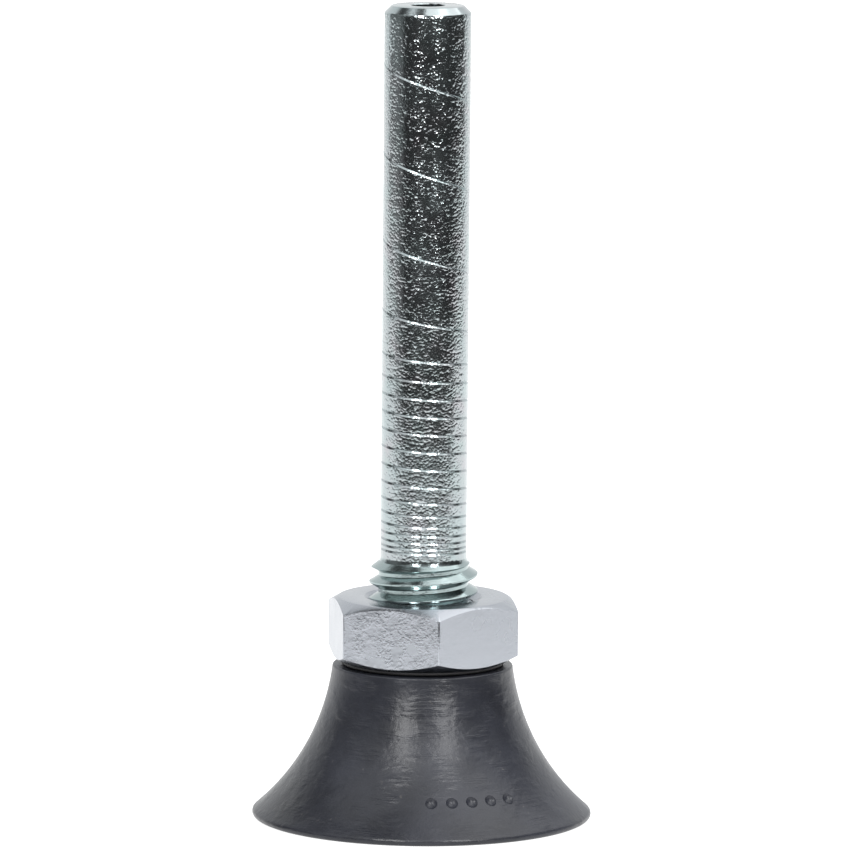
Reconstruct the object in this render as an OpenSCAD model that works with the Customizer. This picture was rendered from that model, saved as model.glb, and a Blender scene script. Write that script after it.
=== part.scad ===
// Vacuum suction cup: a rubber bell bonded to a steel bush, on a hollow stem
// that screws into the bush and is locked by a hexagon nut.
// Millimetres, +Z up. The origin is the centre of the lip, on the plane of the work.

/* [Cup] */
// Diameter of the lip
lip_d = 25; // [24:0.5:28]
// Diameter of the neck at its top
neck_d = 13.3; // [13:0.1:14.6]
// Height of the neck's top above the work
cup_h = 11.4; // [10.5:0.1:13]
// Radius of the hollow curve of the flank
flank_r = 16.8; // [13:0.2:24]
// Width of the flat land that seals on the work
land_w = 0.5; // [0.3:0.1:0.8]
// Depth of the cavity under the hub
cavity_h = 5; // [4.5:0.1:5.3]
// Number of cleats that the work is drawn against
cleats = 6; // [3:1:8]

/* [Stem] */
// Height of the stem's top above the work
stem_top = 60; // [45:1:90]
// Diameter of the smooth shank
stem_d = 6.35; // [6:0.05:6.5]
// Diameter of the air passage
bore_d = 2.5; // [1.5:0.1:3]
// Chamfer round the stem's top
stem_chamfer = 0.5; // [0.2:0.1:0.8]

/* [Thread] */
// Length of thread that shows above the nut
thread_above_nut = 2.8; // [1.5:0.1:8]
// Outer diameter of the thread
thread_d = 8; // [7.8:0.05:8]
// Distance between neighbouring turns
pitch = 1.25; // [1:0.25:1.25]

/* [Lock nut] */
// Width across flats
nut_af = 13; // [12.6:0.1:13]
// Height of the nut
nut_h = 4.7; // [4:0.1:6]
// Turn of the nut's corners about the stem, in degrees
nut_turn = -21; // [-30:1:30]

/* [Seals] */
// Thickness of the washer under the nut
washer_t = 0.3; // [0.2:0.1:0.6]
// Thickness of the gasket under the stem
gasket_t = 0.5; // [0.3:0.1:0.8]

/* [Screen] */
// Thickness of the screen
screen_t = 0.3; // [0.2:0.05:0.4]
// Diameter of each hole in the screen
mesh_hole_d = 0.7; // [0.4:0.1:0.8]

/* [Hidden] */
$fn = 96;

// Running clearance on the thread, and the gap between the rubber and what it holds
thread_gap = 0.04;
bond_gap = 0.05;
cut = 1; // how far a cutting shape passes the face that it cuts

// Bush in the neck of the cup
insert_top = cup_h;
insert_bottom = cavity_h + 0.4;
insert_r = 5.2;
flange_r = 6;
flange_h = 0.8;
recess_r = 3.3;
recess_h = 1;
web_h = 0.6;
web_hole_r = 2;
tap_r = thread_d / 2 + thread_gap;
gasket_seat = insert_bottom + recess_h + web_h;
edge = 0.25; // small chamfers on the steel pieces

// Lock nut and the washer under it
washer_bottom = insert_top;
washer_r = 6;
nut_bottom = washer_bottom + washer_t;
nut_top = nut_bottom + nut_h;
nut_face_r = 0.475 * nut_af; // radius of the flat ring left by the chamfer
nut_corner_r = nut_af / 2 / cos(30);
nut_chamfer_h = (nut_corner_r - nut_face_r) * tan(30);

// Stem
stem_bottom = gasket_seat + gasket_t;
thread_top = nut_top + thread_above_nut;
thread_depth = 0.5413 * pitch; // of an ISO metric thread, from crest to root
root_r = thread_d / 2 - thread_depth;
crest_w = pitch / 8;
root_w = pitch / 4;
turns = floor((thread_top - stem_bottom - root_w) / pitch);
thread_start = thread_top - turns * pitch;
shank_bottom = thread_top + root_r - stem_d / 2;

// Rubber bell
lip_round = 0.3;
neck_round = 0.2;
land_inner_r = lip_d / 2 - lip_round - land_w;
ceiling_r = 6.2;
hub_hole_r = 4.2;
inner_flank_r = 0.85 * flank_r;
flank_steps = 20;
cleat_w = 1.2;
cleat_in = 5.3;
cleat_out = 7.6;
cleat_gap = 2.6; // height of the cleats' lower faces above the work

// Screen and the ring that holds it
screen_r = recess_r - 0.1;
screen_top = insert_bottom + recess_h;
ring_r = 2.6;
ring_h = 0.5;
ring_gap = 2;
hole_rows = 2;
hole_step = 1.2;

// Centre of the circle of radius r through p and q, on the right of the way from p to q.
function arc_centre(p, q, r) =
    let (d = q - p, half = norm(d) / 2, side = [d.y, -d.x] / norm(d))
    (p + q) / 2 + side * sqrt(r * r - half * half);

// Points of the shorter arc of radius r from p to q, in the given number of steps.
function arc(p, q, r, steps) =
    let (
        c = arc_centre(p, q, r),
        a = atan2(p.y - c.y, p.x - c.x),
        b = atan2(q.y - c.y, q.x - c.x),
        sweep = b - a + (b - a > 180 ? -360 : b - a < -180 ? 360 : 0)
    )
    [for (i = [0 : steps]) c + r * [cos(a + sweep * i / steps), sin(a + sweep * i / steps)]];

function reversed(points) = [for (i = [len(points) - 1 : -1 : 0]) points[i]];

// Ring with chamfers of the given size on its outer edges.
module chamfered_ring(inner, outer, bottom, top, chamfer) {
    rotate_extrude()
        polygon([
            [inner, bottom], [outer - chamfer, bottom], [outer, bottom + chamfer],
            [outer, top - chamfer], [outer - chamfer, top], [inner, top]
        ]);
}

// Half section of the rubber bell, from the lip round the outside to the cavity.
module bell_section() {
    lip_centre = [lip_d / 2 - lip_round, lip_round];
    neck_edge = [neck_d / 2, cup_h - bond_gap - neck_round];
    lip_edge = lip_centre + lip_round * [cos(45), sin(45)];
    polygon(concat(
        [for (a = [-90 : 15 : 30]) lip_centre + lip_round * [cos(a), sin(a)]],
        arc(lip_edge, neck_edge, flank_r, flank_steps),
        [[neck_d / 2 - neck_round, cup_h - bond_gap]],
        [[insert_r + bond_gap, cup_h - bond_gap]],
        [[insert_r + bond_gap, insert_bottom + flange_h + bond_gap]],
        [[flange_r + bond_gap, insert_bottom + flange_h + bond_gap]],
        [[flange_r + bond_gap, insert_bottom - bond_gap]],
        [[hub_hole_r, insert_bottom - bond_gap]],
        [[hub_hole_r, cavity_h]],
        reversed(arc([land_inner_r, 0], [ceiling_r, cavity_h], inner_flank_r, flank_steps))
    ));
}

module cleat() {
    translate([cleat_in, -cleat_w / 2, cleat_gap])
        cube([cleat_out - cleat_in, cleat_w, cavity_h - cleat_gap + bond_gap]);
}

module cup() {
    color("#3b3d44") {
        rotate_extrude()
            bell_section();
        intersection() {
            for (i = [0 : cleats - 1])
                rotate(i * 360 / cleats)
                    cleat();
            cylinder(r = cleat_out, h = insert_bottom);
        }
    }
}

module insert() {
    color("#c9ced3")
        difference() {
            union() {
                chamfered_ring(web_hole_r, insert_r, insert_bottom, insert_top, edge);
                chamfered_ring(web_hole_r, flange_r, insert_bottom, insert_bottom + flange_h, edge);
            }
            translate([0, 0, insert_bottom - cut])
                cylinder(r = recess_r, h = recess_h + cut);
            translate([0, 0, gasket_seat])
                cylinder(r = tap_r, h = insert_top - gasket_seat + cut);
            translate([0, 0, insert_top - edge])
                cylinder(r1 = tap_r, r2 = tap_r + edge, h = edge);
        }
}

// One turn of the thread, drawn as a plain ring, with its lower end at height z.
function thread_turn(z) =
    let (flank_w = (pitch - crest_w - root_w) / 2)
    [
        [root_r, z + root_w],
        [thread_d / 2, z + root_w + flank_w],
        [thread_d / 2, z + root_w + flank_w + crest_w],
        [root_r, z + pitch]
    ];

module stem() {
    color("#aeb8bd")
        rotate_extrude()
            polygon(concat(
                [[bore_d / 2, stem_bottom], [root_r, stem_bottom]],
                [for (i = [0 : turns - 1]) each thread_turn(thread_start + i * pitch)],
                [[stem_d / 2, shank_bottom]],
                [[stem_d / 2, stem_top - stem_chamfer], [stem_d / 2 - stem_chamfer, stem_top]],
                [[bore_d / 2, stem_top]]
            ));
}

module end_gasket() {
    color("#1d1f22")
        chamfered_ring(bore_d / 2 + 0.3, tap_r - 0.1, gasket_seat, stem_bottom, 0.08);
}

// Thin disc with rows of holes, one in the centre and six more in each row outwards.
module screen() {
    color("#d9dcde")
        difference() {
            translate([0, 0, screen_top - screen_t])
                cylinder(r = screen_r, h = screen_t);
            for (row = [0 : hole_rows], i = [0 : max(6 * row, 1) - 1])
                rotate(i * 360 / max(6 * row, 1))
                    translate([row * hole_step, 0, screen_top - screen_t - cut])
                        cylinder(d = mesh_hole_d, h = screen_t + 2 * cut, $fn = 24);
        }
}

// Spring ring, open on one side so that it can be squeezed into its recess.
module screen_ring() {
    top = screen_top - screen_t;
    color("#8f979c")
        difference() {
            chamfered_ring(ring_r, recess_r - 0.03, top - ring_h, top, 0.1);
            translate([0, -ring_gap / 2, top - ring_h - cut])
                cube([recess_r + cut, ring_gap, ring_h + 2 * cut]);
        }
}

module seal_washer() {
    color("#17191c")
        chamfered_ring(tap_r, washer_r, washer_bottom, nut_bottom, 0.1);
}

module lock_nut() {
    color("#c4cbd1")
        difference() {
            intersection() {
                rotate(nut_turn)
                    translate([0, 0, nut_bottom])
                        cylinder(r = nut_corner_r, h = nut_h, $fn = 6);
                rotate_extrude()
                    polygon([
                        [0, nut_bottom], [nut_face_r, nut_bottom],
                        [nut_corner_r + cut, nut_bottom + nut_chamfer_h + cut * tan(30)],
                        [nut_corner_r + cut, nut_top - nut_chamfer_h - cut * tan(30)],
                        [nut_face_r, nut_top], [0, nut_top]
                    ]);
            }
            translate([0, 0, nut_bottom - cut])
                cylinder(r = tap_r, h = nut_h + 2 * cut);
            translate([0, 0, nut_bottom - edge])
                cylinder(r1 = tap_r + 2 * edge, r2 = tap_r, h = 2 * edge);
            translate([0, 0, nut_top - edge])
                cylinder(r1 = tap_r, r2 = tap_r + 2 * edge, h = 2 * edge);
        }
}

cup();
insert();
stem();
end_gasket();
screen();
screen_ring();
seal_washer();
lock_nut();
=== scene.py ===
"""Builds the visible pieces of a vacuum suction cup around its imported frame."""

import math

import bmesh
import bpy
from bpy.props import FloatProperty, FloatVectorProperty, IntProperty, PointerProperty
from bpy.types import Operator, Panel, PropertyGroup
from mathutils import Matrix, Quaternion, Vector


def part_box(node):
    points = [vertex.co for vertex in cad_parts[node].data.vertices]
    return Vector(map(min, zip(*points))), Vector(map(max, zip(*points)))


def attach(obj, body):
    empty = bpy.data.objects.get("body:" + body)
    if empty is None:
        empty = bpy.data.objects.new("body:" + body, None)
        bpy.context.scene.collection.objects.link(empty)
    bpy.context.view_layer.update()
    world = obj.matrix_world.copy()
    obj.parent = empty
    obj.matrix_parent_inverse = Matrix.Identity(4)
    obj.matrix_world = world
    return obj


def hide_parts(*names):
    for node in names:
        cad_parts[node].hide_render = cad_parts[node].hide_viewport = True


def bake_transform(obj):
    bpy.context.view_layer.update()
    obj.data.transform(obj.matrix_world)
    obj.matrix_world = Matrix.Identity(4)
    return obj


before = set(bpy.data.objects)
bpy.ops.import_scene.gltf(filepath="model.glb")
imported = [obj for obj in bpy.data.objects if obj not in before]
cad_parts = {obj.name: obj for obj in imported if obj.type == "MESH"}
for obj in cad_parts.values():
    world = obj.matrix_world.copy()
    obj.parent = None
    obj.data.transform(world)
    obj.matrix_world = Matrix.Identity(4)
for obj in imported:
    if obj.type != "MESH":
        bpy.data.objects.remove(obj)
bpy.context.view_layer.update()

bl_info = {
    "name": "Vacuum suction cup",
    "version": (1, 0, 0),
    "blender": (4, 5, 0),
    "location": "3D View > Sidebar > Suction cup",
    "description": "Models the bell, stem, lock nut, bush, seals and screen of a vacuum suction cup",
    "category": "Object",
}

MM = 0.001
TAU = 2 * math.pi
WELD = 2e-7  # points closer than this are one point
ROUND_STEPS = 192  # facets round a turned piece
THREAD_STEPS = 96  # facets in one turn of a thread
CUT = 1 * MM  # how far a cutting shape passes the face that it cuts
THREAD_GAP = 0.03 * MM  # between a thread and the tapped hole around it
CLEARANCE = 0.04 * MM  # between the thread's crests and a plain bore
BUSH_RADIUS = 5.2 * MM  # of the bush above its flange
FLANGE_HEIGHT = 0.8 * MM  # of the bush's flange

_, cup_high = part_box("cup")
insert_low, insert_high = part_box("insert")
stem_low, stem_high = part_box("stem")
gasket_low, gasket_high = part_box("end_gasket")
screen_low, screen_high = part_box("screen")
ring_low, ring_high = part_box("screen_ring")
washer_low, washer_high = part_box("seal_washer")
nut_low, nut_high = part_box("lock_nut")


# Sizes and colours that a user would change


def length(name, description, default):
    """A length in metres, shown in the scene's units."""
    return FloatProperty(
        name=name, description=description, default=default, min=0.0, unit="LENGTH", precision=5
    )


def colour(name, description, default):
    return FloatVectorProperty(
        name=name, description=description, default=default, min=0.0, max=1.0, size=3, subtype="COLOR"
    )


class CupSizes(PropertyGroup):
    lip_diameter: length("Lip diameter", "Across the lip that seals on the work", 2 * cup_high.x)
    neck_diameter: length("Neck diameter", "Across the top of the neck", 13.3 * MM)
    flank_radius: length("Flank radius", "Radius of the hollow curve of the flank", 16.8 * MM)
    land_width: length("Land width", "Width of the flat ring that seals", 0.5 * MM)
    cavity_depth: length("Cavity depth", "From the work up to the hub", 5 * MM)
    cleats: IntProperty(name="Cleats", description="Ribs that the work is drawn against", default=6, min=3)
    dimples: IntProperty(name="Dimples", description="Round mould marks on the flank", default=5, min=0)


class StemSizes(PropertyGroup):
    shank_diameter: length("Shank diameter", "Across the smooth shank", 6.35 * MM)
    passage_diameter: length("Passage diameter", "Across the air passage", 2.5 * MM)
    chamfer: length("Chamfer", "Chamfer round the stem's top", 0.5 * MM)
    thread_diameter: length("Thread diameter", "Across the crests of the thread", 2 * stem_high.x)
    pitch: length("Pitch", "Height of one turn of the thread", 1.25 * MM)
    thread_top: length("Thread top", "Height of the top of the thread", 19.2 * MM)
    crest_height: length("Crest height", "Height of a crest on the +X side", 18.1 * MM)
    mark_depth: length("Mark depth", "Depth of the turning mark on the shank", 0.066 * MM)


class NutSizes(PropertyGroup):
    across_flats: length("Across flats", "Width of the nut across its flats", 13 * MM)
    turn: FloatProperty(
        name="Turn", description="Turn of the nut's corners about the stem",
        default=math.radians(-21), subtype="ANGLE",
    )
    edge: length("Edge", "Rounding of the nut's corners", 0.1 * MM)


class ScreenSizes(PropertyGroup):
    wire_diameter: length("Wire diameter", "Thickness of the screen's wire", 0.14 * MM)
    mesh_pitch: length("Mesh pitch", "Distance between neighbouring wires", 0.4 * MM)


class Finishes(PropertyGroup):
    rubber: colour("Rubber", "Moulded rubber of the bell", (0.015, 0.016, 0.0215))
    scuff: colour("Scuffs", "Pale scuffs on the rubber", (0.12, 0.11, 0.10))
    seal: colour("Seals", "Rubber of the washer and gasket", (0.012, 0.012, 0.013))
    zinc: colour("Zinc", "Bright zinc plate of the shank", (0.42, 0.48, 0.49))
    zinc_green: colour("Green tint", "Greener patches of the plate", (0.36, 0.48, 0.46))
    zinc_pink: colour("Pink tint", "Pinker patches of the plate", (0.49, 0.42, 0.46))
    thread_zinc: colour("Thread zinc", "Greener plate in the thread", (0.34, 0.41, 0.41))
    nut_zinc: colour("Nut zinc", "Pale zinc plate of the nut", (0.42, 0.44, 0.475))
    steel: colour("Steel", "Plain turned steel of the bush", (0.56, 0.56, 0.55))
    wire: colour("Wire", "Stainless wire of the screen", (0.62, 0.61, 0.58))
    spring: colour("Spring steel", "Oiled steel of the screen's ring", (0.20, 0.20, 0.21))


class SuctionCup(PropertyGroup):
    cup: PointerProperty(type=CupSizes)
    stem: PointerProperty(type=StemSizes)
    nut: PointerProperty(type=NutSizes)
    screen: PointerProperty(type=ScreenSizes)
    finish: PointerProperty(type=Finishes)


def settings():
    return bpy.context.scene.suction_cup


# Shaping


def deselect():
    if bpy.context.mode != "OBJECT":
        bpy.ops.object.mode_set(mode="OBJECT")
    bpy.ops.object.select_all(action="DESELECT")


def activate(piece):
    deselect()
    piece.select_set(True)
    bpy.context.view_layer.objects.active = piece


def named(piece, name):
    piece.name = name
    piece.data.name = name
    return piece


def apply_modifier(piece, kind, **values):
    """Adds a modifier to a piece, sets its values and applies it."""
    activate(piece)
    bpy.ops.object.modifier_add(type=kind)
    modifier = piece.modifiers[-1]
    for key, value in values.items():
        setattr(modifier, key, value)
    bpy.ops.object.modifier_apply(modifier=modifier.name)


def combine(piece, other, operation):
    """Adds, subtracts or keeps the shared part of another solid, which is used up."""
    apply_modifier(piece, "BOOLEAN", object=other, operation=operation, solver="EXACT")
    bpy.data.objects.remove(other)


def outline_ring(name, outline):
    """A ring of edges through an outline's (radius, height) points, in the XZ plane."""
    deselect()
    bpy.ops.mesh.primitive_circle_add(vertices=len(outline), radius=MM)
    piece = named(bpy.context.active_object, name)
    for vertex, (radius, height) in zip(piece.data.vertices, outline):
        vertex.co = (radius, 0, height)
    return piece


def volume(piece):
    """Volume inside a closed piece, which is negative where its faces point inwards."""
    shape = bmesh.new()
    shape.from_mesh(piece.data)
    inside = shape.calc_volume(signed=True)
    shape.free()
    return inside


def clean(piece):
    """Merges a closed piece's doubled points and turns every face outwards."""
    activate(piece)
    bpy.ops.object.mode_set(mode="EDIT")
    bpy.ops.mesh.select_all(action="SELECT")
    bpy.ops.mesh.remove_doubles(threshold=WELD)
    bpy.ops.mesh.normals_make_consistent(inside=False)
    bpy.ops.object.mode_set(mode="OBJECT")
    if volume(piece) < 0:
        bpy.ops.object.mode_set(mode="EDIT")
        bpy.ops.mesh.flip_normals()
        bpy.ops.object.mode_set(mode="OBJECT")


def turned(name, outline, angle=TAU, steps=ROUND_STEPS):
    """A solid turned about Z from a closed outline of (radius, height) points."""
    piece = outline_ring(name, outline)
    activate(piece)
    bpy.ops.object.mode_set(mode="EDIT")
    bpy.ops.mesh.select_all(action="SELECT")
    bpy.ops.mesh.spin(steps=steps, angle=angle, center=(0, 0, 0), axis=(0, 0, 1), use_auto_merge=False)
    bpy.ops.object.mode_set(mode="OBJECT")
    if angle < TAU:
        close_ends(piece)
    clean(piece)
    return piece


def close_ends(piece):
    """Fills the open ends of a swept outline."""
    activate(piece)
    bpy.ops.object.mode_set(mode="EDIT")
    bpy.ops.mesh.select_mode(type="EDGE")
    bpy.ops.mesh.select_all(action="DESELECT")
    bpy.ops.mesh.select_non_manifold(extend=False, use_wire=False)
    bpy.ops.mesh.fill()
    bpy.ops.mesh.select_mode(type="VERT")
    bpy.ops.object.mode_set(mode="OBJECT")


def arc(centre, radius, start, end, steps):
    """Points of an arc from one angle to another, in degrees from the outward direction."""
    angles = [math.radians(start + (end - start) * i / steps) for i in range(steps + 1)]
    return [(centre[0] + radius * math.cos(a), centre[1] + radius * math.sin(a)) for a in angles]


def bowed(start, end, radius, steps):
    """Points of the shorter arc of a radius between two points, bowed towards the left of the way."""
    p, q = Vector(start), Vector(end)
    way = q - p
    right = Vector((way.y, -way.x)).normalized()
    centre = (p + q) / 2 + right * math.sqrt(radius**2 - way.length_squared / 4)
    a = math.atan2(p.y - centre.y, p.x - centre.x)
    sweep = math.remainder(math.atan2(q.y - centre.y, q.x - centre.x) - a, TAU)
    angles = [a + sweep * i / steps for i in range(steps + 1)]
    return [(centre.x + radius * math.cos(t), centre.y + radius * math.sin(t)) for t in angles]


def skinned(name, rings):
    """A closed tube through rings of points, each with as many points as the first."""
    deselect()
    bpy.ops.mesh.primitive_circle_add(vertices=len(rings[0]), radius=MM, fill_type="NGON")
    tube = named(bpy.context.active_object, name)
    bpy.ops.object.mode_set(mode="EDIT")
    for _ in rings[1:]:
        bpy.ops.mesh.extrude_region_move(TRANSFORM_OT_translate={"value": (0, 0, MM)})
    bpy.ops.object.mode_set(mode="OBJECT")
    points = [point for ring in rings for point in ring]
    for vertex, point in zip(tube.data.vertices, points):
        vertex.co = point
    clean(tube)
    return tube


def rounded_ring(name, inner, outer, bottom, top, rounding, steps=4):
    """A flat ring with all four edges rounded."""
    corners = [
        (outer - rounding, bottom + rounding, -90, 0),
        (outer - rounding, top - rounding, 0, 90),
        (inner + rounding, top - rounding, 90, 180),
        (inner + rounding, bottom + rounding, 180, 270),
    ]
    outline = []
    for radius, height, start, end in corners:
        outline += arc((radius, height), rounding, start, end, steps)
    return turned(name, outline)


def helix(name, section, pitch, height, bottom, top):
    """A right-hand screw of a closed section, in step with a height on the +X side, from just below
    one height to just above another."""
    first = math.floor((bottom - height) / pitch)
    turns = math.ceil((top - height) / pitch) - first
    start = height + first * pitch
    piece = outline_ring(name, [(radius, start + up) for radius, up in section])
    apply_modifier(
        piece, "SCREW", axis="Z", angle=TAU, screw_offset=pitch, iterations=turns,
        steps=THREAD_STEPS, render_steps=THREAD_STEPS, use_normal_calculate=False,
    )
    close_ends(piece)
    clean(piece)
    return piece


def thread_depth(pitch):
    """Depth of an ISO metric thread of a pitch, from crest to root."""
    return 0.5413 * pitch


def plain_bore_radius(stem):
    """Radius of a hole that the thread passes through without touching."""
    return stem.thread_diameter / 2 + CLEARANCE


def tapped_radius(stem):
    """Radius inside the crests of a tapped hole for the stem."""
    return stem.thread_diameter / 2 - thread_depth(stem.pitch) + THREAD_GAP


def outer_thread_cutter(name, stem, bottom, top):
    """The groove of the stem's thread: a 60 degree V with a flat bottom, and crests eased on both sides."""
    crest, pitch = stem.thread_diameter / 2, stem.pitch
    root = crest - thread_depth(pitch)
    root_half = pitch / 8
    crest_half = pitch / 2 - pitch / 16
    lip = 0.03 * pitch
    reach = crest + 0.2 * pitch
    upper = [
        (root, root_half - lip), (root + 1.2 * lip, root_half + 0.5 * lip),
        (crest - lip, crest_half - 0.58 * lip), (crest + lip, crest_half + 1.6 * lip),
        (reach, crest_half + 1.6 * lip),
    ]
    lower = [(radius, -up) for radius, up in reversed(upper)]
    return helix(name, upper + lower, pitch, stem.crest_height + pitch / 2, bottom, top)


def inner_thread_cutter(name, stem, bottom, top):
    """The groove of a tapped hole, which clears the stem's ridge by a gap on every side."""
    crest = stem.thread_diameter / 2 + THREAD_GAP
    reach = stem.thread_diameter / 2 - thread_depth(stem.pitch) - 0.2 * stem.pitch
    slope = math.tan(math.radians(30))
    tip_half = stem.pitch / 16 + THREAD_GAP
    upper = [(crest, tip_half), (reach, tip_half + (crest - reach) * slope)]
    lower = [(radius, -up) for radius, up in reversed(upper)]
    return helix(name, lower + upper, stem.pitch, stem.crest_height, bottom, top)


def ringed(piece, count, first=0.0, step=None):
    """Copies a piece about Z, each turned by the same step from the last, and joins the copies."""
    step = TAU / count if step is None else step
    copies = []
    for i in range(count):
        copy = piece.copy()
        copy.data = piece.data.copy()
        bpy.context.collection.objects.link(copy)
        copy.rotation_euler.z = first + i * step
        copies.append(copy)
    bpy.data.objects.remove(piece)
    activate(copies[0])
    for copy in copies[1:]:
        copy.select_set(True)
    bpy.ops.object.transform_apply(location=False, rotation=True, scale=False)
    bpy.ops.object.join()
    return bpy.context.active_object


def finish_piece(piece, node, material, body=None, smooth_angle=30):
    """Smooths a piece, gives it its material and joins it to the frame."""
    activate(piece)
    bpy.ops.object.shade_smooth_by_angle(angle=math.radians(smooth_angle))
    apply_modifier(piece, "WEIGHTED_NORMAL", keep_sharp=True)
    piece.data.materials.clear()
    piece.data.materials.append(material)
    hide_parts(node)
    if body:
        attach(piece, body)


# Materials


class Graph:
    """A material's nodes, added one after another."""

    def __init__(self, name):
        self.material = bpy.data.materials.new(name)
        self.material.use_nodes = True
        self.tree = self.material.node_tree
        self.shader = self.tree.nodes["Principled BSDF"]
        self.place = self.add("ShaderNodeTexCoord").outputs["Object"]

    def add(self, kind, inputs=None, **values):
        node = self.tree.nodes.new(kind)
        for key, value in values.items():
            setattr(node, key, value)
        for key, value in (inputs or {}).items():
            self.connect(value, node.inputs[key])
        return node

    def connect(self, value, socket):
        if isinstance(value, bpy.types.NodeSocket):
            self.tree.links.new(value, socket)
        else:
            socket.default_value = value

    def stretched(self, scale):
        """The object's coordinates, each axis scaled by its own number of features a metre."""
        return self.add("ShaderNodeMapping", {"Vector": self.place, "Scale": scale}).outputs[0]

    def noise(self, scale, detail=2.0, roughness=0.5, vector=None):
        inputs = {"Vector": vector or self.place, "Scale": scale, "Detail": detail, "Roughness": roughness}
        return self.add("ShaderNodeTexNoise", inputs).outputs["Fac"]

    def domes(self, scale):
        """Heights of small round grains, packed side by side, with so many across a metre."""
        inputs = {"Vector": self.place, "Scale": scale}
        distance = self.add("ShaderNodeTexVoronoi", inputs, feature="F1").outputs["Distance"]
        return self.math("MULTIPLY", self.math("MULTIPLY", distance, distance), -1.0)

    def math(self, operation, a, b=0.0):
        return self.add("ShaderNodeMath", {0: a, 1: b}, operation=operation).outputs[0]

    def ramp(self, value, low, high, to_low=0.0, to_high=1.0):
        """A value between two limits, spread over a new range and clamped to it."""
        inputs = {"Value": value, "From Min": low, "From Max": high, "To Min": to_low, "To Max": to_high}
        return self.add("ShaderNodeMapRange", inputs).outputs["Result"]

    def blend(self, share, first, second):
        node = self.add("ShaderNodeMix", data_type="RGBA")
        for socket, value in zip((node.inputs[0], node.inputs[6], node.inputs[7]), (share, first, second)):
            self.connect(value, socket)
        return node.outputs[2]

    def bump(self, height, depth, below=None):
        """A surface raised by a height times a depth, over another such surface if one is given."""
        inputs = {"Height": height, "Distance": depth, "Strength": 1.0}
        if below:
            inputs["Normal"] = below
        return self.add("ShaderNodeBump", inputs).outputs[0]

    def set(self, **sockets):
        for key, value in sockets.items():
            self.connect(value, self.shader.inputs[key.replace("_", " ")])
        return self.material


def rgba(values, factor=1.0):
    return (*(factor * v for v in values), 1.0)


def zinc_stem_material():
    """Bright zinc over a grainy shank, with a faint tint, greener in the thread and smooth at the ends."""
    finish, sizes = settings().finish, settings().stem
    g = Graph("zinc_stem")
    height = g.add("ShaderNodeSeparateXYZ", {0: g.place}).outputs["Z"]
    in_thread = g.ramp(height, sizes.thread_top + 0.3 * MM, sizes.thread_top - 0.2 * MM)
    clouds = g.noise(260, 3.0, 0.6)
    tint = g.blend(g.noise(700, 2.0, 0.5), rgba(finish.zinc_green), rgba(finish.zinc_pink))
    bright = g.blend(g.ramp(clouds, 0.3, 0.7), tint, rgba(finish.zinc))
    base = g.blend(in_thread, bright, rgba(finish.thread_zinc))
    depth = g.ramp(g.noise(2400, 2.0, 0.5), 0.38, 0.58, 0.25, 1.0)
    chamfer_low = stem_high.z - sizes.chamfer
    on_shank = g.ramp(height, chamfer_low - 0.1 * MM, chamfer_low + 0.05 * MM, 1.0, 0.1)
    calm = g.math("MULTIPLY", g.ramp(in_thread, 0.0, 1.0, 1.0, 0.35), on_shank)
    coarse = g.ramp(height, stem_high.z - 32 * MM, stem_high.z - 16 * MM, 0.017, 0.030)
    domes = g.math("MULTIPLY", g.math("MULTIPLY", g.domes(4800), depth), g.math("MULTIPLY", calm, coarse))
    grain = g.bump(domes, MM)
    grain = g.bump(g.math("MULTIPLY", g.noise(9000, 2.0, 0.6), calm), 0.005 * MM, below=grain)
    roughness = g.ramp(clouds, 0.3, 0.7, 0.12, 0.19)
    return g.set(Base_Color=base, Metallic=1.0, Roughness=roughness, Normal=grain)


def zinc_nut_material():
    """Pale zinc, finely pitted on one of the nut's faces and nearly smooth on the others."""
    finish, sizes = settings().finish, settings().nut
    g = Graph("zinc_nut")
    a = sizes.turn - math.radians(90)  # the pitted face's direction
    facing = {0: g.place, 1: (math.cos(a), math.sin(a), 0)}
    reach = g.add("ShaderNodeVectorMath", facing, operation="DOT_PRODUCT").outputs["Value"]
    flat = sizes.across_flats / 2
    pitted = g.ramp(reach, flat - 0.35 * MM, flat - 0.02 * MM, 0.15, 1.0)
    patches = g.ramp(g.noise(900, 3.0, 0.5), 0.38, 0.6, 0.15, 1.0)
    clouds = g.noise(160, 3.0, 0.6)
    base = g.blend(clouds, rgba(finish.nut_zinc, 0.85), rgba(finish.nut_zinc, 1.1))
    pits = g.math("MULTIPLY", g.math("MULTIPLY", g.noise(5400, 2.0, 0.6), patches), pitted)
    surface = g.bump(pits, 0.024 * MM)
    surface = g.bump(g.noise(2200, 3.0, 0.6), 0.006 * MM, below=surface)
    roughness = g.ramp(clouds, 0.3, 0.7, 0.2, 0.3)
    return g.set(Base_Color=base, Metallic=1.0, Roughness=roughness, Normal=surface)


def rubber_material():
    """Charcoal moulded rubber with fine level lines from its mould and a few pale scuffs."""
    finish = settings().finish
    g = Graph("moulded_rubber")
    clouds = g.noise(140, 4.0, 0.6)
    lines = g.noise(1.0, 2.0, 0.7, g.stretched((420, 420, 5200)))
    streaks = g.ramp(g.noise(1.0, 2.0, 0.5, g.stretched((500, 500, 900))), 0.45, 0.65)
    scuffs = g.ramp(g.noise(1100, 3.0, 0.6), 0.70, 0.78)
    base = g.blend(g.ramp(clouds, 0.3, 0.7), rgba(finish.rubber, 0.6), rgba(finish.rubber, 1.6))
    base = g.blend(g.math("MULTIPLY", scuffs, 0.5), base, rgba(finish.scuff))
    surface = g.bump(g.math("MULTIPLY", lines, streaks), 0.05 * MM)
    surface = g.bump(g.noise(3600, 3.0, 0.6), 0.016 * MM, below=surface)
    roughness = g.ramp(clouds, 0.3, 0.7, 0.27, 0.37)
    return g.set(Base_Color=base, Roughness=roughness, Specular_IOR_Level=0.4, Normal=surface)


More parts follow.
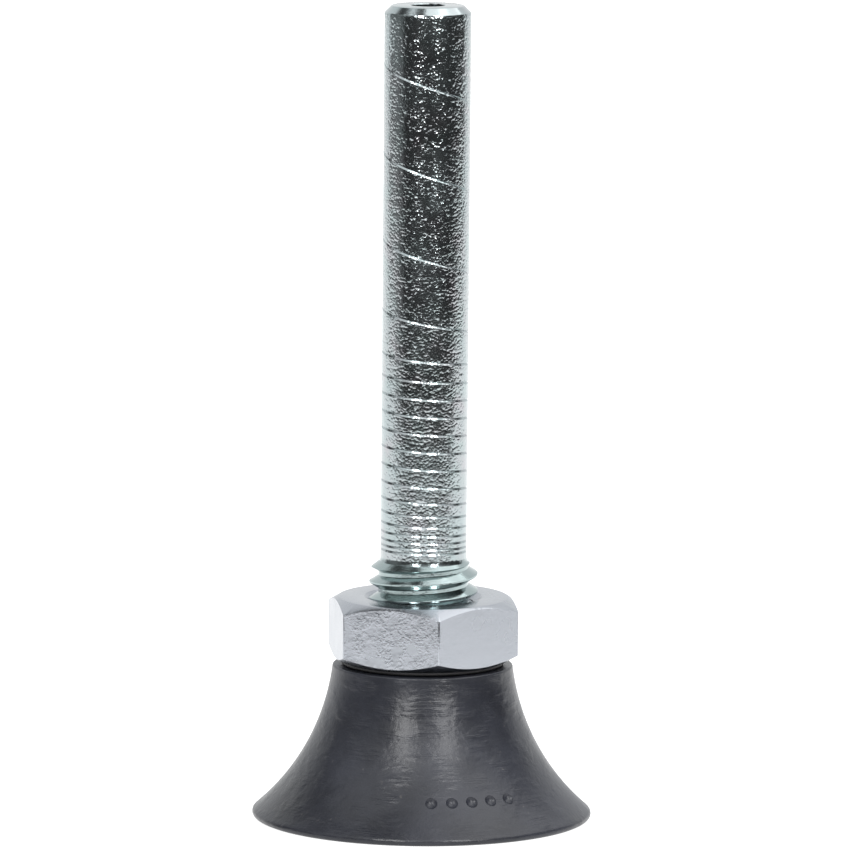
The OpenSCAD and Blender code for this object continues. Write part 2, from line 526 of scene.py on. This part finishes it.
def seal_material():
    """Smooth black sealing rubber."""
    g = Graph("seal_rubber")
    tone = settings().finish.seal
    base = g.blend(g.noise(500, 2.0, 0.5), rgba(tone, 0.8), rgba(tone, 1.5))
    return g.set(Base_Color=base, Roughness=0.5, Normal=g.bump(g.noise(5000, 2.0, 0.5), 0.006 * MM))


def steel_material(name, tone, roughness, scale):
    """Turned or drawn steel with a fine grain and uneven brightness."""
    g = Graph(name)
    base = g.blend(g.noise(300, 3.0, 0.6), rgba(tone, 0.85), rgba(tone, 1.1))
    grain = g.noise(1.0, 2.0, 0.6, g.stretched((scale, scale, 6 * scale)))
    rough = g.ramp(g.noise(600, 2.0, 0.5), 0.3, 0.7, 0.8 * roughness, 1.2 * roughness)
    return g.set(Base_Color=base, Metallic=1.0, Roughness=rough, Normal=g.bump(grain, 0.008 * MM))


# Pieces


class SUCTION_OT_bell(Operator):
    """Model the rubber bell, with its cleats and its plain round mould marks"""

    bl_idname = "suction.bell"
    bl_label = "Rubber bell"

    def execute(self, context):
        sizes = settings().cup
        bell = turned("rubber_bell", self.outline(sizes))
        self.add_cleats(bell, sizes)
        self.press_dimples(bell, sizes)
        clean(bell)
        finish_piece(bell, "cup", rubber_material(), smooth_angle=40)
        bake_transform(bell)
        return {"FINISHED"}

    def outline(self, sizes):
        """Half section: round the lip, up the flank, over the neck and back down inside."""
        lip = 0.3 * MM
        neck_edge = 0.15 * MM
        bush_gap = 0.05 * MM
        bush_r = BUSH_RADIUS + bush_gap
        flange_r = insert_high.x + bush_gap
        flange_top = insert_low.z + FLANGE_HEIGHT + bush_gap
        flange_bottom = insert_low.z - bush_gap
        hole_r = 4.2 * MM
        ceiling_r = 6.2 * MM
        top = cup_high.z
        lip_r = sizes.lip_diameter / 2 - lip
        neck_r = sizes.neck_diameter / 2 - neck_edge
        flank_start = (lip_r + lip * math.cos(math.radians(45)), lip + lip * math.sin(math.radians(45)))
        flank_end = (neck_r + neck_edge, top - neck_edge)
        land_r = lip_r - sizes.land_width
        inner = bowed((land_r, 0), (ceiling_r, sizes.cavity_depth), 0.85 * sizes.flank_radius, 28)
        return (
            arc((lip_r, lip), lip, -90, 35, 7)
            + bowed(flank_start, flank_end, sizes.flank_radius, 60)
            + arc((neck_r, top - neck_edge), neck_edge, 10, 90, 5)
            + [(bush_r, top), (bush_r, flange_top), (flange_r, flange_top)]
            + [(flange_r, flange_bottom), (hole_r, flange_bottom), (hole_r, sizes.cavity_depth)]
            + inner[::-1]
        )

    def add_cleats(self, bell, sizes):
        """Ribs with rounded edges, standing down from the roof of the cavity."""
        low, inner, outer, width = 2.6 * MM, 5.3 * MM, 7.6 * MM, 1.2 * MM
        high = sizes.cavity_depth + 0.2 * MM
        deselect()
        bpy.ops.mesh.primitive_cube_add(
            size=1, location=((inner + outer) / 2, 0, (low + high) / 2),
            scale=(outer - inner, width, high - low),
        )
        cleat = named(bpy.context.active_object, "cleat")
        bpy.ops.object.transform_apply(location=True, rotation=False, scale=True)
        apply_modifier(cleat, "BEVEL", width=0.25 * MM, segments=3, limit_method="ANGLE")
        combine(bell, ringed(cleat, sizes.cleats), "UNION")

    def press_dimples(self, bell, sizes):
        """A level row of shallow round marks low on the flank."""
        radius, height, depth = 0.55 * MM, 2.75 * MM, 0.16 * MM
        step, first = math.radians(8.5), math.radians(-86)
        lip_r, lip = sizes.lip_diameter / 2, 0.3 * MM
        flank = bowed((lip_r, lip), (sizes.neck_diameter / 2, cup_high.z), sizes.flank_radius, 60)
        place = min(flank, key=lambda point: abs(point[1] - height))
        outwards = Vector((1, 0, 0.62)).normalized()  # square to the flank at the dimples
        deselect()
        bpy.ops.mesh.primitive_uv_sphere_add(
            segments=24, ring_count=16, radius=radius,
            location=Vector((place[0], 0, place[1])) + outwards * (radius - depth),
        )
        ball = named(bpy.context.active_object, "dimple")
        bpy.ops.object.transform_apply(location=True, rotation=False, scale=False)
        if sizes.dimples:
            combine(bell, ringed(ball, sizes.dimples, first, step), "DIFFERENCE")


class SUCTION_OT_bush(Operator):
    """Model the steel bush in the neck, with its tapped hole and notched flange"""

    bl_idname = "suction.bush"
    bl_label = "Steel bush"
    tap_end = stem_low.z + 0.9 * MM

    def execute(self, context):
        stem = settings().stem
        bush = turned("steel_bush", self.outline(stem))
        self.notch_flange(bush)
        tap = inner_thread_cutter("bush_tap", stem, self.tap_end, insert_high.z + stem.pitch)
        combine(bush, tap, "DIFFERENCE")
        clean(bush)
        material = steel_material("turned_steel", settings().finish.steel, 0.28, 900)
        finish_piece(bush, "insert", material, "hub")
        return {"FINISHED"}

    def outline(self, stem):
        edge = 0.2 * MM
        body_r = BUSH_RADIUS
        flange_r = insert_high.x
        flange_top = insert_low.z + FLANGE_HEIGHT
        recess_r = ring_high.x + 0.03 * MM
        recess_top = screen_high.z
        web_r = 2 * MM
        tap_r = plain_bore_radius(stem)
        minor_r = tapped_radius(stem)
        bottom, top = insert_low.z, insert_high.z
        return [
            (recess_r + edge, bottom), (flange_r - edge, bottom), (flange_r, bottom + edge),
            (flange_r, flange_top - edge), (flange_r - edge, flange_top), (body_r, flange_top),
            (body_r, top - edge), (body_r - edge, top), (tap_r + edge, top),
            (minor_r, top - (tap_r + edge - minor_r)), (minor_r, self.tap_end + 0.5 * MM),
            (tap_r, self.tap_end), (tap_r, gasket_low.z), (web_r + edge, gasket_low.z),
            (web_r, gasket_low.z - edge),
            (web_r, recess_top), (recess_r, recess_top), (recess_r, bottom + edge),
        ]

    def notch_flange(self, bush):
        """Notches round the flange, which keep the rubber from turning on it."""
        count, radius, height = 24, 0.3 * MM, 3 * MM
        deselect()
        bpy.ops.mesh.primitive_cylinder_add(
            vertices=12, radius=radius, depth=height, location=(insert_high.x + radius / 3, 0, insert_low.z)
        )
        notch = named(bpy.context.active_object, "notch")
        bpy.ops.object.transform_apply(location=True, rotation=False, scale=False)
        combine(bush, ringed(notch, count), "DIFFERENCE")


class SUCTION_OT_stem(Operator):
    """Model the hollow stem, with its thread and the turning mark along its shank"""

    bl_idname = "suction.stem"
    bl_label = "Stem"

    def execute(self, context):
        sizes = settings().stem
        stem = turned("stem_tube", self.outline(sizes))
        die = outer_thread_cutter("die", sizes, stem_low.z - sizes.pitch, sizes.thread_top + sizes.pitch)
        combine(stem, die, "DIFFERENCE")
        combine(stem, self.mark_cutter(sizes), "DIFFERENCE")
        clean(stem)
        finish_piece(stem, "stem", zinc_stem_material(), "hub", smooth_angle=24)
        return {"FINISHED"}

    def outline(self, sizes):
        top, bottom = stem_high.z, stem_low.z
        shank = sizes.shank_diameter / 2
        bore = sizes.passage_diameter / 2
        crest = sizes.thread_diameter / 2
        start = 0.75 * MM  # chamfer at both ends of the thread
        mouth = 0.06 * MM
        soft = 0.12 * MM
        return [
            (bore + mouth, bottom), (crest - start, bottom), (crest, bottom + start),
            (crest, sizes.thread_top - start), (crest - start, sizes.thread_top - 0.2 * start),
            (shank, sizes.thread_top + 0.1 * MM), (shank, sizes.thread_top + 0.2 * MM),
            (shank, top - sizes.chamfer - 2 * soft), (shank, top - sizes.chamfer - soft),
            (shank - 0.3 * soft, top - sizes.chamfer), (shank - sizes.chamfer, top - 0.3 * soft),
            (shank - sizes.chamfer - soft, top), (bore + mouth, top), (bore, top - mouth),
            (bore, bottom + mouth),
        ]

    def lead(self, turn):
        """Height of one turn of the mark: wide at the top, even in the middle, close at the foot."""
        wide, even, shrink = 6.5 * MM, 1.3 * MM, 0.82
        share = min(max((turn - 1) / 3.8, 0.0), 1.0)
        eased = share * share * (3 - 2 * share)
        return (wide + (even - wide) * eased) * shrink ** max(turn - 11, 0)

    def mark_cutter(self, sizes):
        """A thin left-hand V groove that a tool left as it drew back along the shank."""
        steps, first, last = THREAD_STEPS, -0.6, 18.5
        turn, height = 0.0, 54.3 * MM  # where the mark crosses the front of the stem
        while turn > first:
            turn -= 1 / steps
            height += self.lead(turn) / steps
        shank, depth = sizes.shank_diameter / 2, sizes.mark_depth
        upper, lower = 0.09 * MM, 0.27 * MM
        rings = []
        while turn < last:
            a = TAU * (turn - 0.25)
            section = [(shank - depth, 0), (shank + depth, upper), (shank + depth, -lower)]
            rings.append([(r * math.cos(a), r * math.sin(a), height + up) for r, up in section])
            height -= self.lead(turn) / steps
            turn += 1 / steps
        return skinned("mark", rings)


class SUCTION_OT_lock_nut(Operator):
    """Model the hexagon lock nut, chamfered on both faces and threaded"""

    bl_idname = "suction.lock_nut"
    bl_label = "Lock nut"

    def execute(self, context):
        sizes, stem = settings().nut, settings().stem
        nut = self.hexagon(sizes)
        combine(nut, turned("nut_envelope", self.outline(sizes, stem), steps=288), "INTERSECT")
        apply_modifier(
            nut, "BEVEL", width=0.06 * MM, segments=2, limit_method="ANGLE", angle_limit=math.radians(14)
        )
        tap = inner_thread_cutter("nut_tap", stem, nut_low.z - stem.pitch, nut_high.z + stem.pitch)
        combine(nut, tap, "DIFFERENCE")
        clean(nut)
        finish_piece(nut, "lock_nut", zinc_nut_material(), "nut", smooth_angle=20)
        return {"FINISHED"}

    def hexagon(self, sizes):
        deselect()
        corner_r = sizes.across_flats / 2 / math.cos(math.radians(30))
        bpy.ops.mesh.primitive_cylinder_add(
            vertices=6, radius=corner_r, depth=nut_high.z - nut_low.z + 2 * CUT,
            location=(0, 0, (nut_low.z + nut_high.z) / 2), rotation=(0, 0, sizes.turn + math.radians(30)),
        )
        nut = named(bpy.context.active_object, "hex_lock_nut")
        bpy.ops.object.transform_apply(location=True, rotation=True, scale=False)
        apply_modifier(
            nut, "BEVEL", width=sizes.edge, segments=3, limit_method="ANGLE", angle_limit=math.radians(50)
        )
        return nut

    def outline(self, sizes, stem):
        """Half section of the nut's chamfers and of its hole with countersunk mouths."""
        low, high = nut_low.z, nut_high.z
        bore = tapped_radius(stem)
        mouth = 1.0 * MM
        face = 0.475 * sizes.across_flats  # radius of the flat ring left by a chamfer
        reach = sizes.across_flats / 2 / math.cos(math.radians(30)) + CUT
        drop = (reach - face) * math.tan(math.radians(30))
        soft = 0.08 * MM
        return [
            (bore + mouth, low), (face - soft, low), (face + soft, low + 0.4 * soft), (reach, low + drop),
            (reach, high - drop), (face + soft, high - 0.4 * soft), (face - soft, high),
            (bore + mouth, high), (bore, high - mouth), (bore, low + mouth),
        ]


class SUCTION_OT_seals(Operator):
    """Model the washer under the nut and the gasket under the stem"""

    bl_idname = "suction.seals"
    bl_label = "Washer and gasket"

    def execute(self, context):
        rubber = seal_material()
        hole_r = plain_bore_radius(settings().stem)
        washer = rounded_ring(
            "seal_washer_ring", hole_r, washer_high.x, washer_low.z, washer_high.z, rounding=0.12 * MM
        )
        finish_piece(washer, "seal_washer", rubber, "washer", smooth_angle=50)
        air_hole_r = 1.55 * MM
        gasket = rounded_ring(
            "end_gasket_ring", air_hole_r, gasket_high.x, gasket_low.z, gasket_high.z, rounding=0.15 * MM
        )
        finish_piece(gasket, "end_gasket", rubber, "hub", smooth_angle=50)
        return {"FINISHED"}


class SUCTION_OT_screen(Operator):
    """Model the woven wire screen and the spring ring that holds it"""

    bl_idname = "suction.screen"
    bl_label = "Screen and ring"

    def execute(self, context):
        finish = settings().finish
        screen = self.weave(settings().screen)
        wire = steel_material("stainless_wire", finish.wire, 0.25, 3000)
        finish_piece(screen, "screen", wire, "hub", smooth_angle=60)
        ring = self.spring_ring()
        spring = steel_material("spring_steel", finish.spring, 0.35, 1500)
        finish_piece(ring, "screen_ring", spring, "hub", smooth_angle=40)
        return {"FINISHED"}

    def weave(self, sizes):
        """Wires that pass over and under each other, in a disc with a rim round it."""
        rim_width = 0.35 * MM
        reach = screen_high.x - 0.25 * MM  # to the wires' ends, inside the rim
        middle = (screen_low.z + screen_high.z) / 2
        count = int(reach / sizes.mesh_pitch)
        wires = []
        for across in range(-count, count + 1):
            offset = across * sizes.mesh_pitch
            half = math.sqrt(max(reach**2 - offset**2, 0))
            for along_x in (True, False):
                phase = 1 if (across % 2 == 0) == along_x else -1
                wires.append(self.wire(sizes, offset, half, along_x, phase, middle))
        rim = rounded_ring(
            "screen_rim", screen_high.x - rim_width, screen_high.x, screen_low.z, screen_high.z,
            rounding=0.1 * MM,
        )
        deselect()
        for wire in wires:
            wire.select_set(True)
        rim.select_set(True)
        bpy.context.view_layer.objects.active = rim
        bpy.ops.object.join()
        return named(bpy.context.active_object, "woven_screen")

    def wire(self, sizes, offset, half, along_x, phase, middle):
        """One wire of the weave, a six-sided tube that waves about the middle of the screen."""
        sides, radius = 6, sizes.wire_diameter / 2
        steps = max(int(2 * half / (sizes.mesh_pitch / 4)), 4)
        rings = []
        for i in range(steps + 1):
            along = -half + 2 * half * i / steps
            wave = middle + phase * radius * math.cos(math.pi * along / sizes.mesh_pitch)
            ring = []
            for j in range(sides):
                side = offset + radius * math.cos(TAU * j / sides)
                up = wave + radius * math.sin(TAU * j / sides)
                ring.append((along, side, up) if along_x else (side, along, up))
            rings.append(ring)
        return skinned("wire", rings)

    def spring_ring(self):
        """A ring of square wire with a gap, so that it can be squeezed into its recess."""
        gap = math.radians(38)
        inner, outer, soft = 2.6 * MM, 3.27 * MM, 0.08 * MM
        low, high = ring_low.z, ring_high.z
        outline = [
            (inner + soft, low), (outer - soft, low), (outer, low + soft), (outer, high - soft),
            (outer - soft, high), (inner + soft, high), (inner, high - soft), (inner, low + soft),
        ]
        ring = turned("screen_spring_ring", outline, angle=TAU - gap, steps=96)
        activate(ring)
        ring.rotation_euler.z = gap / 2
        bpy.ops.object.transform_apply(location=False, rotation=True, scale=False)
        return ring


# Stage


class SUCTION_OT_stage(Operator):
    """Set up the floor, the soft lights and the camera"""

    bl_idname = "suction.stage"
    bl_label = "Stage"

    def execute(self, context):
        self.floor()
        self.surround()
        self.lamp("left_front", azimuth=-20, elevation=30, distance=0.7, size=(0.14, 0.4), power=2.2)
        self.lamp("right_front", azimuth=28, elevation=30, distance=0.7, size=(0.14, 0.4), power=2.4)
        self.lamp("overhead", azimuth=100, elevation=68, distance=0.7, size=(0.7, 0.7), power=2.6)
        self.camera()
        scene = context.scene
        scene.view_settings.view_transform = "Standard"
        scene.view_settings.look = "None"
        return {"FINISHED"}

    def floor(self):
        """White paper, lit from below as well, that narrows to a round nose in front of the object."""
        right = [(0, -138), (45, -124), (95, -92), (135, -63), (211, -22), (310, 10), (310, 1000)]
        corners = right + [(-x, y) for x, y in reversed(right[1:])]  # in millimetres
        deselect()
        bpy.ops.mesh.primitive_circle_add(vertices=len(corners), radius=MM, fill_type="NGON")
        floor = named(bpy.context.active_object, "stage_floor")
        for vertex, (x, y) in zip(floor.data.vertices, corners):
            vertex.co = (x * MM, y * MM, -0.02 * MM)
        g = Graph("stage_paper")
        paper = g.blend(g.noise(40, 2.0, 0.5), (0.34, 0.34, 0.34, 1), (0.36, 0.36, 0.36, 1))
        floor.data.materials.append(
            g.set(Base_Color=paper, Roughness=0.9, Emission_Color=(1, 1, 1, 1), Emission_Strength=0.9)
        )

    def surround(self):
        """A room that is white behind the object, pale high in front of it, dim on its left, dark
        elsewhere, and white to the camera."""
        world = bpy.data.worlds.new("studio")
        bpy.context.scene.world = world
        world.use_nodes = True
        tree = world.node_tree
        split = tree.nodes.new("ShaderNodeSeparateXYZ")
        tree.links.new(tree.nodes.new("ShaderNodeTexCoord").outputs["Generated"], split.inputs[0])
        x, y, z = split.outputs
        dark = 0.04
        behind = self.between(tree, y, 0.40, 0.56, dark, 1.0)
        beside = self.between(tree, x, -0.86, -0.97, dark, 0.22)
        high = self.between(tree, z, 0.2, 0.75, dark, 1.4)
        short_of_top = self.between(tree, z, 0.97, 0.92, dark, 1.0)
        in_front = self.between(tree, y, 0.2, 0.05, dark, 1.0)
        light = self.merge(tree, "MULTIPLY", self.merge(tree, "MULTIPLY", high, short_of_top), in_front)
        for other in (behind, beside):
            light = self.merge(tree, "MAXIMUM", light, other)
        mix = tree.nodes.new("ShaderNodeMix")
        mix.data_type = "FLOAT"
        mix.inputs["B"].default_value = 1.0
        tree.links.new(tree.nodes.new("ShaderNodeLightPath").outputs["Is Camera Ray"], mix.inputs["Factor"])
        tree.links.new(light, mix.inputs["A"])
        background = tree.nodes["Background"]
        tree.links.new(mix.outputs[0], background.inputs["Strength"])
        background.inputs["Color"].default_value = (0.97, 0.99, 1.0, 1.0)

    def between(self, tree, value, low, high, to_low, to_high):
        """A value between two limits, spread over a new range and clamped to it."""
        node = tree.nodes.new("ShaderNodeMapRange")
        limits = {"From Min": low, "From Max": high, "To Min": to_low, "To Max": to_high}
        for key, limit in limits.items():
            node.inputs[key].default_value = limit
        tree.links.new(value, node.inputs["Value"])
        return node.outputs["Result"]

    def merge(self, tree, operation, a, b):
        node = tree.nodes.new("ShaderNodeMath")
        node.operation = operation
        tree.links.new(a, node.inputs[0])
        tree.links.new(b, node.inputs[1])
        return node.outputs[0]

    def lamp(self, name, azimuth, elevation, distance, size, power):
        """A rectangular soft light that faces the object. Azimuth 0 is the camera's side."""
        a, e = math.radians(azimuth), math.radians(elevation)
        back = Vector((math.sin(a) * math.cos(e), -math.cos(a) * math.cos(e), math.sin(e)))
        bpy.ops.object.light_add(type="AREA", location=back * distance)
        light = bpy.context.active_object
        light.name = name
        light.rotation_mode = "QUATERNION"
        light.rotation_quaternion = back.to_track_quat("Z", "Y")
        light.data.shape = "RECTANGLE"
        light.data.size, light.data.size_y = size
        light.data.energy = power

    def camera(self):
        place, aim = Vector((0, -600, 114)) * MM, Vector((0.03, 0, 29.09)) * MM
        tilt = math.radians(0.476)
        bpy.ops.object.camera_add(location=place)
        camera = bpy.context.active_object
        camera.name = "camera"
        camera.rotation_mode = "QUATERNION"
        camera.rotation_quaternion = (aim - place).to_track_quat("-Z", "Y") @ Quaternion((0, 0, 1), tilt)
        camera.data.sensor_width = 36
        camera.data.lens = 349.7
        camera.data.clip_start = 0.01
        bpy.context.scene.camera = camera


class SUCTION_PT_panel(Panel):
    bl_idname = "SUCTION_PT_panel"
    bl_label = "Suction cup"
    bl_space_type = "VIEW_3D"
    bl_region_type = "UI"
    bl_category = "Suction cup"

    def draw(self, context):
        for operator in OPERATORS:
            self.layout.operator(operator.bl_idname)


OPERATORS = (
    SUCTION_OT_bell,
    SUCTION_OT_bush,
    SUCTION_OT_stem,
    SUCTION_OT_lock_nut,
    SUCTION_OT_seals,
    SUCTION_OT_screen,
    SUCTION_OT_stage,
)
GROUPS = (CupSizes, StemSizes, NutSizes, ScreenSizes, Finishes, SuctionCup)
CLASSES = (*GROUPS, *OPERATORS, SUCTION_PT_panel)


def register():
    for cls in CLASSES:
        bpy.utils.register_class(cls)
    bpy.types.Scene.suction_cup = PointerProperty(type=SuctionCup)


def unregister():
    del bpy.types.Scene.suction_cup
    for cls in reversed(CLASSES):
        bpy.utils.unregister_class(cls)


def main():
    register()
    bpy.ops.suction.bell()
    bpy.ops.suction.bush()
    bpy.ops.suction.stem()
    bpy.ops.suction.lock_nut()
    bpy.ops.suction.seals()
    bpy.ops.suction.screen()
    bpy.ops.suction.stage()


if __name__ == "__main__":
    main()
